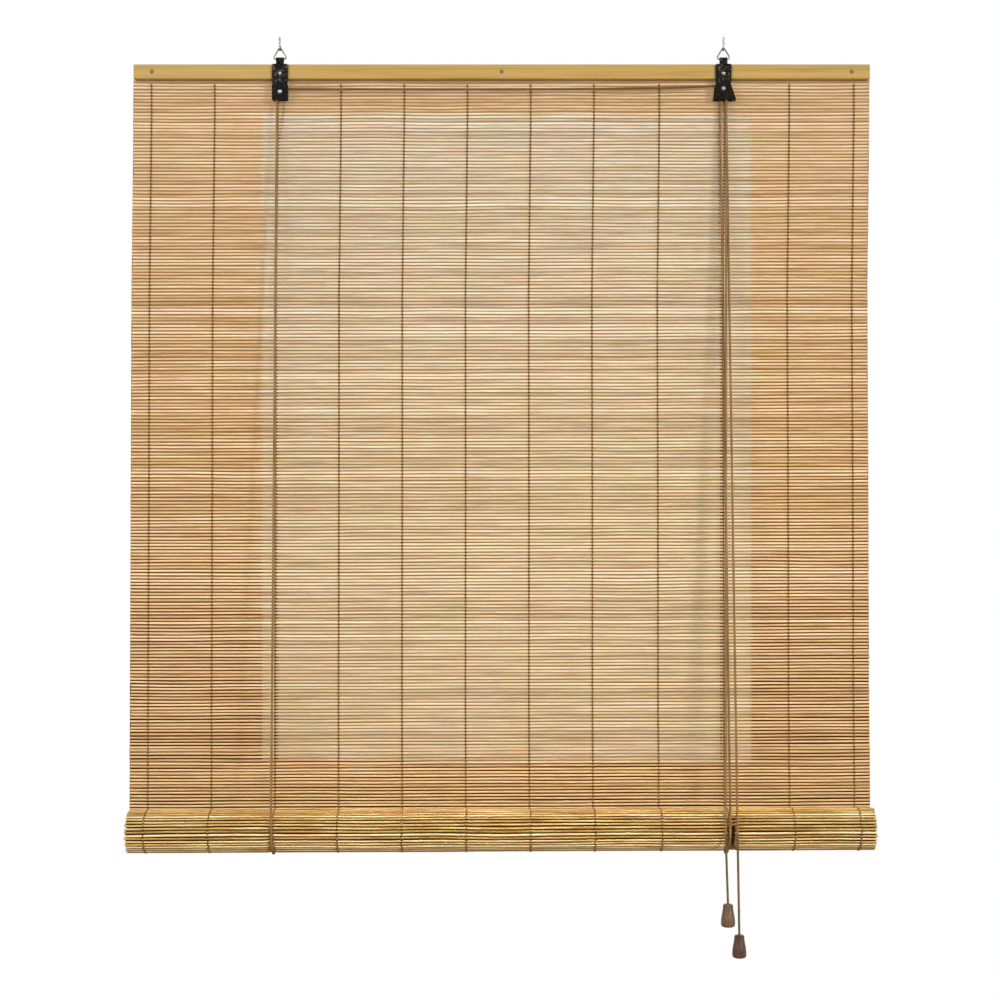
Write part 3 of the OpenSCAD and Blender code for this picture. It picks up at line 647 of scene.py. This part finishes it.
beside = np.linspace(-1, 1, loop_stations)
beside = loop_zone * np.sign(beside) * np.abs(beside) ** loop_crowding
fine_x = np.concatenate([x + beside for x in loop_foot_x])
even_x = np.linspace(mat_low[0], mat_high[0], stations + 1)
even_x = even_x[[min(abs(x - at) for at in loop_foot_x) > loop_zone for x in even_x]]
outer_x = np.sort(np.concatenate([even_x, fine_x]))
inner_x = np.concatenate([[mat_low[0]], fine_x, [mat_high[0]]])
wound = []
wave = np.zeros(knots)
while True:
    angle = wound_angle((len(wound) + 0.5) * slat_pitch)
    radius = roll_r - roll_k * angle
    if radius - slat_t / 2 < rod_r + rod_gap:
        break
    wave = next_wave(wave)
    height = varied(slat_h, 0.09, 0.8, 1.2)
    ends = np.clip(0.0005 * random.normal(size=2), -ragged_most, ragged_most)
    turn = angle / (2 * np.pi)
    x = (outer_x if turn < fine_turns else inner_x).copy()
    bowed = smooth_along(wave, x, mat_low[0] - wave_margin, mat_high[0] + wave_margin)
    bowed *= roll_bow * (turn < fine_turns)
    drawn_in = 0 * x
    for at, depth, half in waists:
        drawn_in += max(depth - squeezed * turn, 0) * drawn_share(angle) * np.exp(-((x - at) / half) ** 2)
    x[0] += roll_shift + ends[0]
    x[-1] += roll_shift + ends[1]
    facing = np.array([math.cos(angle), -math.sin(angle)])
    rise = np.cross(side_x, [0, *facing])[1:]
    centre = np.array([roll_y, roll_z]) + radius * facing
    tilt = sag_left * x
    across = centre @ facing + roll_lean * bowed - drawn_in + tilt * facing[1]
    up = centre @ rise + bowed + tilt * rise[1]
    wound.append(slat_bar(x, across, up, facing, height, wound_t))
roll_slats = lofted("roll_slats", wound)
roll_slats.data.materials.append(slat_finish(
    "roll_bamboo",
    [(0.36, "#987742"), (0.5, "#bf9d61"), (0.62, "#dec692"), (0.74, "#f2e3c1"), (0.9, "#fef8e6")],
    "#6b4c28", front=wound_glow, rear=wound_glow, outer=outer_count, foot_shade_count=1, dent=right_dent_shade,
))
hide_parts("roll")
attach(roll_slats, "roll")

strands = []
for share in warp_shares:
    x = mat_low[0] + roll_shift + share * (mat_high[0] - mat_low[0])
    route, steps = [], []
    for step, out, cross in strand_steps(outer_count - 2):
        angle = wound_angle(step * slat_pitch)
        radius = roll_r - roll_k * angle + thread_inset + out * thread_reach
        route.append((
            x + thread_cross * cross,
            roll_y + radius * math.cos(angle),
            roll_z - radius * math.sin(angle) + sag_left * x,
        ))
        steps.append(step)
    strands.append(thread_bar(route, steps))
roll_threads = lofted("roll_warp_threads", strands)
roll_threads.data.materials.append(thread_finish)
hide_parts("roll_threads")
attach(roll_threads, "roll")

# Bottom rod: a round wooden rod, as long as the mat is wide. The mat's foot is stapled to it
# and the roll is wound on it, so only its sawn ends show.
rod_finish, tree, shader = new_finish("rod_wood", 0.6, specular=0.3)
long_grain = noise(tree, stretched(tree, place_of(tree), (18, 700, 700)), 1.0, 3.0)
rod_stops = [(0.3, "#94683a"), (0.55, "#b98d55"), (0.75, "#caa36c")]
colour_and_relief(tree, shader, shades(tree, long_grain, rod_stops), long_grain, 0.0001)
dress(rod_finish, "bottom_rod")

# Cord loops: from a staple on the rear lath each cord comes down behind the mat, passes
# under the roll and goes up in front to its pulley. The left one then runs across.
tie_y = 0.01775
tie_z = -0.043
tied_top = -0.026
lead_r = middle("left_pulley")[0] - middle("left_sling_cord")[0]
span_sag = 0.0005
span_steps = 24
late_rise = 6
bend_steps = 12
sling_steps = 28
strays = {
    "left": ((-0.068, 0.0075), (-0.115, 0.001), (-0.157, -0.003), (-0.5, -0.002), (roll_z, -0.0016)),
    "right": ((-0.068, -0.0005), (-0.2, 0.001), (-0.4, 0.0026), (roll_z, 0.0026)),
}
sunk = {"left": 0.0016, "right": 0.0034}
# Painted shade: the runs behind the mat and their tied ends are near black.
painted_shade_cord = cord_finish("painted_shade_cord", [(0.25, "#140b05"), (0.52, "#2c1b10"), (0.8, "#4a3322")])
# Painted shade: the lead under the rail is a darker brown than the other cords.
shade_brown_cord = cord_finish("shade_brown_cord", [(0.25, "#472d1c"), (0.52, "#6b4a34"), (0.8, "#8c684e")])


def bend(centre, start, stop):
    """Quarter or half turn of cord over a pulley, in the plane of its groove."""
    turn = np.radians(np.linspace(start, stop, bend_steps))
    x, y, z = centre
    return [(x + lead_r * math.cos(a), y, z + lead_r * math.sin(a)) for a in turn]


left_axle = (middle("left_pulley")[0], groove_y["left"], middle("left_pulley")[2])
front_axle = (middle("right_pulley")[0], groove_y["left"], pulley_z)
rear_axle = (middle("right_pulley")[0], groove_y["right"], pulley_z)
half_turn = np.linspace(0, np.pi, sling_steps)
for hand, axle, foot_x in zip(("left", "right"), (left_axle, rear_axle), loop_foot_x):
    x = axle[0] - lead_r
    low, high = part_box(hand + "_sling_cord")
    loose_r = (high[1] - low[1] - cord_d) / 2
    tight_r = roll_r + slat_t / 2 - sunk[hand] + cord_d / 2
    foot_y = roll_y + loose_r
    behind = [(x, tie_y, tie_z)]
    for z, aside in strays[hand]:
        behind.append((x + aside, tie_y + (foot_y - tie_y) * (tie_z - z) / (tie_z - roll_z), z))
    rear = cord_piece(hand + "_rear_run", behind, side_x, painted_shade_cord)
    tied = cord_piece(hand + "_tied_end", [(x, tie_y, tied_top), (x, tie_y, tie_z)], side_x, painted_shade_cord)
    reach = loose_r + (tight_r - loose_r) * drawn_share(half_turn)
    slant = np.linspace(behind[-1][0], foot_x, len(half_turn))
    under = np.stack([slant, roll_y + reach * np.cos(half_turn), roll_z - reach * np.sin(half_turn)], -1)
    sling = cord_piece(hand + "_sling", under, side_x)
    front = cord_piece(hand + "_front_run", [(x, *axle[1:]), (foot_x, roll_y - tight_r, roll_z)], side_x)
    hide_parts(hand + "_rear_cord")
    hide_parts(hand + "_rear_cord")
    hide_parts(hand + "_sling_cord")
    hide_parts(hand + "_front_cord")
    flattens(rear)
    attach(tied, "head")
    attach(sling, "slings")
    flattens(front)

span_start = np.array(left_axle) + [0, 0, lead_r]
span_end = np.array(front_axle) + [0, 0, lead_r]
span = []
for t in np.linspace(0, 1, span_steps)[1:-1]:
    sags = np.array([0, 0, 4 * span_sag * t * (1 - t)])
    span.append(span_start + (span_end - span_start) * np.array([t, t, t ** late_rise]) - sags)
lead_route = bend(left_axle, 180, 90) + span + bend(front_axle, 90, 0)
left_lead = cord_piece("left_lead", lead_route, side_y, shade_brown_cord)
right_lead = cord_piece("right_lead", bend(rear_axle, 180, 0), side_y)
for hand, piece in (("left", left_lead), ("right", right_lead)):
    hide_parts(hand + "_lead_cord")
    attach(piece, "head")
dress(nail_steel, "cord_staples")

# Tassels: two turned wooden bells, stained dark and waxed, bored for their cord. A knot in
# the recess below holds each one up, and the right one is a shade darker.
def stained_wood(name, stops):
    """Dark stained wood with upright grain and fine turning marks."""
    material, tree, shader = new_finish(name, 0.42, specular=0.4)
    upright = noise(tree, stretched(tree, place_of(tree), (520, 520, 60)), 1.0, 4.0)
    pore = noise(tree, stretched(tree, place_of(tree), (2200, 2200, 260)), 1.0, 2.0)
    turned = noise(tree, stretched(tree, place_of(tree), (0, 0, 1500)), 1.0, 1.0)
    tone = maths(tree, "MULTIPLY_ADD", pore, 0.35, maths(tree, "MULTIPLY", upright, 0.65))
    colour_and_relief(tree, shader, shades(tree, tone, stops), turned, 0.00008)
    return material


left_wood = stained_wood("left_tassel_wood", [(0.3, "#3c2c21"), (0.52, "#5e4936"), (0.75, "#76604e")])
right_wood = stained_wood("right_tassel_wood", [(0.3, "#2d1911"), (0.52, "#462c1f"), (0.75, "#61412f")])
dress(left_wood, "left_tassel")
dress(right_wood, "right_tassel")

knot_steps = 60
knot_sides = 8
knot_rise = 1.3
knot_strand = 0.36
knot_loop = np.linspace(0, 2 * np.pi, knot_steps)
for hand in ("left", "right"):
    knot_low, knot_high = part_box(hand + "_knot")
    size = (knot_high[2] - knot_low[2]) / 2
    x, y, z = middle(hand + "_knot")
    wind = np.stack([
        np.sin(knot_loop) + 2 * np.sin(2 * knot_loop),
        np.cos(knot_loop) - 2 * np.cos(2 * knot_loop),
        -knot_rise * np.sin(3 * knot_loop),
    ], -1)
    strand_r = knot_strand * size
    centre = np.array([x, y, z]) + wind / 3 * (size - strand_r)
    way = np.gradient(centre, axis=0)
    way /= np.linalg.norm(way, axis=1)[:, None]
    side = np.cross(way, [0.0, 0.0, 1.0])
    side /= np.linalg.norm(side, axis=1)[:, None]
    up = np.cross(way, side)
    turn = 2 * np.pi * np.arange(knot_sides) / knot_sides
    ring = np.cos(turn)[None, :, None] * side[:, None, :] + np.sin(turn)[None, :, None] * up[:, None, :]
    knot = lofted(hand + "_tied_knot", [(centre[:, None, :] + strand_r * ring, knot_loop * size)])
    knot.data.materials.append(faded_cord)
    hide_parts(hand + "_knot")
    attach(knot, hand + "_tassel")

# Stage: a pale floor far below, white air all round, and soft lamps in front, two of them weak.
# Dim cards right behind the mat, and a bluish lamp that lights its slats alone, stand for the room behind
# it. That lamp climbs with the roll.
floor_z = -2.85
floor_size = 14.0


def plane(name, corners, material):
    """A flat stage sheet."""
    mesh = bpy.data.meshes.new(name)
    mesh.from_pydata(corners, [], [list(range(len(corners)))])
    mesh.materials.append(material)
    sheet = bpy.data.objects.new(name, mesh)
    bpy.context.collection.objects.link(sheet)
    return sheet


def seen_directly(tree):
    """1 for what the camera sees, also in metal or through glass."""
    path = add(tree, "LightPath", {}).outputs
    mirrored = maths(tree, "MAXIMUM", path["Is Glossy Ray"], path["Is Transmission Ray"])
    return maths(tree, "MAXIMUM", path["Is Camera Ray"], mirrored)


world = bpy.data.worlds.new("white_air")
bpy.context.scene.world = world
world.use_nodes = True
tree = world.node_tree
tree.nodes.clear()
shown = add(tree, "Background", {"Color": (1, 1, 1, 1), "Strength": 1.0})
light = add(tree, "Background", {"Color": linear("#ffdca8"), "Strength": 0.2})
both = add(tree, "MixShader", {0: seen_directly(tree), 1: light.outputs[0], 2: shown.outputs[0]})
add(tree, "OutputWorld", {"Surface": both.outputs[0]})

floor_paint = bpy.data.materials.new("pale_floor")
floor_paint.use_nodes = True
tree = floor_paint.node_tree
tree.nodes.clear()
matt = add(tree, "BsdfDiffuse", {"Color": linear("#dcc7a2")})
white = add(tree, "Emission", {"Color": (1, 1, 1, 1), "Strength": 1.0})
both = add(tree, "MixShader", {0: seen_directly(tree), 1: matt.outputs[0], 2: white.outputs[0]})
add(tree, "OutputMaterial", {"Surface": both.outputs[0]})
half = floor_size / 2
square = [(-half, -half), (half, -half), (half, half), (-half, half)]
plane("pale_floor", [(x, y, floor_z) for x, y in square], floor_paint)


def dim_finish(name, stops, low, high):
    """Glowing tone between two heights that only the camera sees, and only from the front: painted shade
    and light of the room behind the mat.
    """
    material = bpy.data.materials.new(name)
    material.use_nodes = True
    tree = material.node_tree
    tree.nodes.clear()
    height = add(tree, "SeparateXYZ", {"Vector": place_of(tree)}).outputs["Z"]
    share = add(tree, "MapRange", {0: height, 1: low, 2: high}).outputs[0]
    tint = add(tree, "Emission", {"Color": shades(tree, share, stops)})
    clear = add(tree, "BsdfTransparent", {})
    path = add(tree, "LightPath", {}).outputs["Is Camera Ray"]
    rear = add(tree, "NewGeometry", {}).outputs["Backfacing"]
    shows = maths(tree, "MULTIPLY", path, maths(tree, "SUBTRACT", 1.0, rear))
    both = add(tree, "MixShader", {0: shows, 1: clear.outputs[0], 2: tint.outputs[0]})
    add(tree, "OutputMaterial", {"Surface": both.outputs[0]})
    return material


def dim_cards(name, finish, left, right, ahead):
    """Cards right behind the mat between two sides, given downwards. They leave a slit for each
    rear cord, with a narrow card behind it."""
    top, foot = left[0][1], left[-1][1]
    cuts = [[(x, top), (x, foot)] for slit in card_slits for x in slit]
    sides = [left] + cuts + [right]
    for i, y in enumerate((near_y, far_y, near_y, far_y, near_y)):
        spare = far_over if y == far_y else 0
        outline = [(x - spare, y - ahead, z) for x, z in sides[i]]
        outline += [(x + spare, y - ahead, z) for x, z in sides[i + 1][::-1]]
        sheet = plane(f"{name}_{i}", outline, finish)
        flattens(sheet)


near_y = mat_high[1] + 0.0012
far_y = 0.0197
far_over = 0.012
lamp_y = far_y + 0.002
pale_ahead = 0.0003
card_over = 0.0008
card_corners = 12
card_slits = ((-0.281, -0.263), (0.2635, 0.2735))
pale_box = (-0.2945, 0.3065, -0.8765, -0.0825)
left_side, right_side = [], []
for depth in np.linspace(0, 1, card_corners):
    z = rail_foot + (roll_z - rail_foot) * depth
    x0, x1 = mat_sides(depth)
    left_side.append((x0 - card_over, z))
    right_side.append((x1 + card_over, z))
# Painted shade seen through the gaps: darkest at the foot, paler upwards.
shade_stops = [(0.0, "#3a1800"), (0.18, "#562b02"), (0.5, "#8c6534"), (1.0, "#a88354")]
shade_finish = dim_finish("shade", shade_stops, roll_z, rail_foot)
dim_cards("shade_card", shade_finish, left_side, right_side, 0)
x0, x1, z0, z1 = pale_box
# Painted light: a paler glowing card where the room behind is bright.
painted_light_finish = dim_finish("pale", [(0.0, "#8d7650"), (1.0, "#9a8664")], z0, z1)
dim_cards("pale_card", painted_light_finish, [(x0, z1), (x0, z0)], [(x1, z1), (x1, z0)], pale_ahead)


def soft_lamp(name, place, aim, size, power, tint=(1, 1, 1), spread=180):
    """Flat lamp of a width and a height, at a place, that faces another."""
    data = bpy.data.lights.new(name, "AREA")
    data.shape = "RECTANGLE"
    data.size, data.size_y = size
    data.energy = power
    data.color = tint
    data.spread = math.radians(spread)
    lamp = bpy.data.objects.new(name, data)
    bpy.context.collection.objects.link(lamp)
    turned = (Vector(place) - Vector(aim)).to_track_quat("Z", "Y")
    lamp.matrix_world = Matrix.Translation(place) @ turned.to_matrix().to_4x4()
    lamp.visible_camera = False
    return lamp


blind_middle = (0, 0, -0.5)
soft_lamp("left_lamp", (-1.9, -2.2, 0.45), blind_middle, (1.3, 1.1), 51)
soft_lamp("right_lamp", (3.2, -3.5, 0.75), blind_middle, (0.5, 0.6), 149)
soft_lamp("top_lamp", (0, -1.6, 2.0), blind_middle, (1.6, 0.6), 8, (0.85, 0.94, 1.0))
soft_lamp("low_lamp", (0.4, -1.9, 0.9), (0, 0, -1.0), (0.5, 0.3), 2.0, (1.0, 0.7, 0.22), 40)
pale_middle = ((x0 + x1) / 2, lamp_y, (z0 + z1) / 2)
pale_aim = (pale_middle[0], lamp_y - 1, pale_middle[2])
back_lamp = soft_lamp("back_lamp", pale_middle, pale_aim, (x1 - x0, z1 - z0), 4.5, (0.0, 0.42, 1.0), 20)
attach(back_lamp, "slings")
back_lit = bpy.data.collections.new("back_lit")
back_lit.objects.link(hung_slats)
back_lamp.light_linking.receiver_collection = back_lit
